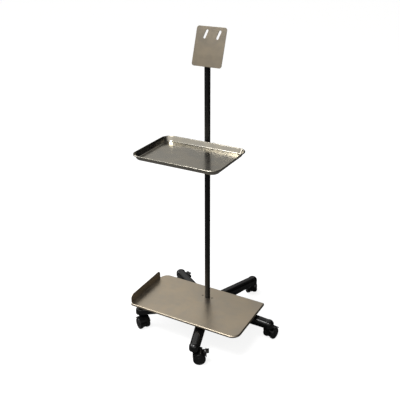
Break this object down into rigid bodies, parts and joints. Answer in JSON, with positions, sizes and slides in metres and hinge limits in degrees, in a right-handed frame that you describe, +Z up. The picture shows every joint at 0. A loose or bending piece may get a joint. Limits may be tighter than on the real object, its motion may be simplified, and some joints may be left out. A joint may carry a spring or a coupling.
{
  "type": "instrument cart",
  "caption": "Five-legged wheeled cart with one mast that carries a low shelf, an instrument tray at a set height and a leaning mounting plate with slanted slots on top.",
  "frame": {"origin": "middle of the footprint, on the floor", "axes": "+Z up the mast, +X along the shelf's long side with the turned-up end at -X, and -Y the way the tray and the plate face"},
  "size_m": [0.5658, 0.6038, 1.2151],
  "materials": {
    "black_plastic": "glossy moulded black nylon",
    "wheel_plastic": "black moulded wheel",
    "black_paint": "semi-gloss black powder coat",
    "satin_steel": "satin stainless steel sheet",
    "bright_steel": "polished stainless steel",
    "zinc_steel": "bright zinc plate",
    "brass": "machined brass",
    "nylon": "natural nylon"
  },
  "bodies": {
    "base": {"star_base": "black_plastic", "mast": "black_paint", "mast_foot_plug": "zinc_steel", "mast_bolt": "zinc_steel", "mast_washer": "zinc_steel", "grip_rings": "zinc_steel", "shelf": "satin_steel", "shelf_screws": "zinc_steel", "shelf_inserts": "brass", "head_bracket": "black_paint", "head_plate": "satin_steel", "head_studs": "zinc_steel", "head_washers": "zinc_steel", "head_nuts": "zinc_steel", "caster_stem_front": "zinc_steel", "caster_stem_right": "zinc_steel", "caster_stem_back_right": "zinc_steel", "caster_stem_back_left": "zinc_steel", "caster_stem_left": "zinc_steel"},
    "tray_slider": {"tray_bush": "nylon"},
    "tray": {"tray_pan": "bright_steel", "tray_studs": "zinc_steel", "tray_washers": "zinc_steel", "tray_nuts": "zinc_steel", "tray_support": "black_paint", "tray_collar": "black_paint", "collar_screws": "zinc_steel"},
    "knob": {"knob_screw": "zinc_steel", "clamp_knob": "black_plastic"},
    "caster_front": {"caster_hood_front": "black_plastic", "axle_front": "zinc_steel", "brake_pin_front": "zinc_steel"},
    "wheel_near_front": {"wheel_near_front": "wheel_plastic"},
    "wheel_far_front": {"wheel_far_front": "wheel_plastic"},
    "brake_lever_front": {"brake_lever_front": "black_plastic"},
    "caster_right": {"caster_hood_right": "black_plastic", "axle_right": "zinc_steel"},
    "wheel_near_right": {"wheel_near_right": "wheel_plastic"},
    "wheel_far_right": {"wheel_far_right": "wheel_plastic"},
    "caster_back_right": {"caster_hood_back_right": "black_plastic", "axle_back_right": "zinc_steel"},
    "wheel_near_back_right": {"wheel_near_back_right": "wheel_plastic"},
    "wheel_far_back_right": {"wheel_far_back_right": "wheel_plastic"},
    "caster_back_left": {"caster_hood_back_left": "black_plastic", "axle_back_left": "zinc_steel", "brake_pin_back_left": "zinc_steel"},
    "wheel_near_back_left": {"wheel_near_back_left": "wheel_plastic"},
    "wheel_far_back_left": {"wheel_far_back_left": "wheel_plastic"},
    "brake_lever_back_left": {"brake_lever_back_left": "black_plastic"},
    "caster_left": {"caster_hood_left": "black_plastic", "axle_left": "zinc_steel"},
    "wheel_near_left": {"wheel_near_left": "wheel_plastic"},
    "wheel_far_left": {"wheel_far_left": "wheel_plastic"}
  },
  "joints": [
    {"name": "tray_height", "type": "slide", "parent": "base", "child": "tray_slider", "axis": [0, 0, 1], "range_m": [-0.35, 0.15]},
    {"name": "tray_swivel", "type": "hinge", "parent": "tray_slider", "child": "tray", "pos_m": [-0.027, -0.013, 0.786], "axis": [0, 0, 1], "continuous": true},
    {"name": "knob_turn", "type": "hinge", "parent": "tray", "child": "knob", "pos_m": [-0.027, 0.016, 0.766], "axis": [0, 1, 0], "range_deg": [0, 360]},
    {"name": "swivel_front", "type": "hinge", "parent": "base", "child": "caster_front", "pos_m": [0.05953, -0.2793, 0.058], "axis": [0, 0, 1], "continuous": true},
    {"name": "spin_near_front", "type": "hinge", "parent": "caster_front", "child": "wheel_near_front", "pos_m": [0.07614, -0.27008, 0.025], "axis": [-0.4848, 0.8746, 0], "continuous": true},
    {"name": "spin_far_front", "type": "hinge", "parent": "caster_front", "child": "wheel_far_front", "pos_m": [0.07614, -0.27008, 0.025], "axis": [-0.4848, 0.8746, 0], "continuous": true},
    {"name": "brake_front", "type": "hinge", "parent": "caster_front", "child": "brake_lever_front", "pos_m": [0.09169, -0.26146, 0.05039], "axis": [-0.4848, 0.8746, 0], "range_deg": [0, 12]},
    {"name": "swivel_right", "type": "hinge", "parent": "base", "child": "caster_right", "pos_m": [0.253, -0.013, 0.058], "axis": [0, 0, 1], "continuous": true},
    {"name": "spin_near_right", "type": "hinge", "parent": "caster_right", "child": "wheel_near_right", "pos_m": [0.2563, 0.00571, 0.025], "axis": [-0.9848, 0.1736, 0], "continuous": true},
    {"name": "spin_far_right", "type": "hinge", "parent": "caster_right", "child": "wheel_far_right", "pos_m": [0.2563, 0.00571, 0.025], "axis": [-0.9848, 0.1736, 0], "continuous": true},
    {"name": "swivel_back_right", "type": "hinge", "parent": "base", "child": "caster_back_right", "pos_m": [0.05953, 0.2533, 0.058], "axis": [0, 0, 1], "continuous": true},
    {"name": "spin_near_back_right", "type": "hinge", "parent": "caster_back_right", "child": "wheel_near_back_right", "pos_m": [0.04731, 0.26785, 0.025], "axis": [-0.766, -0.6428, 0], "continuous": true},
    {"name": "spin_far_back_right", "type": "hinge", "parent": "caster_back_right", "child": "wheel_far_back_right", "pos_m": [0.04731, 0.26785, 0.025], "axis": [-0.766, -0.6428, 0], "continuous": true},
    {"name": "swivel_back_left", "type": "hinge", "parent": "base", "child": "caster_back_left", "pos_m": [-0.25353, 0.15158, 0.058], "axis": [0, 0, 1], "continuous": true},
    {"name": "spin_near_back_left", "type": "hinge", "parent": "caster_back_left", "child": "wheel_near_back_left", "pos_m": [-0.24861, 0.16993, 0.025], "axis": [-0.9659, 0.2588, 0], "continuous": true},
    {"name": "spin_far_back_left", "type": "hinge", "parent": "caster_back_left", "child": "wheel_far_back_left", "pos_m": [-0.24861, 0.16993, 0.025], "axis": [-0.9659, 0.2588, 0], "continuous": true},
    {"name": "brake_back_left", "type": "hinge", "parent": "caster_back_left", "child": "brake_lever_back_left", "pos_m": [-0.244, 0.18711, 0.05039], "axis": [-0.9659, 0.2588, 0], "range_deg": [0, 12]},
    {"name": "swivel_left", "type": "hinge", "parent": "base", "child": "caster_left", "pos_m": [-0.25353, -0.17758, 0.058], "axis": [0, 0, 1], "continuous": true},
    {"name": "spin_near_left", "type": "hinge", "parent": "caster_left", "child": "wheel_near_left", "pos_m": [-0.23724, -0.18737, 0.025], "axis": [0.515, 0.8572, 0], "continuous": true},
    {"name": "spin_far_left", "type": "hinge", "parent": "caster_left", "child": "wheel_far_left", "pos_m": [-0.23724, -0.18737, 0.025], "axis": [0.515, 0.8572, 0], "continuous": true}
  ]
}
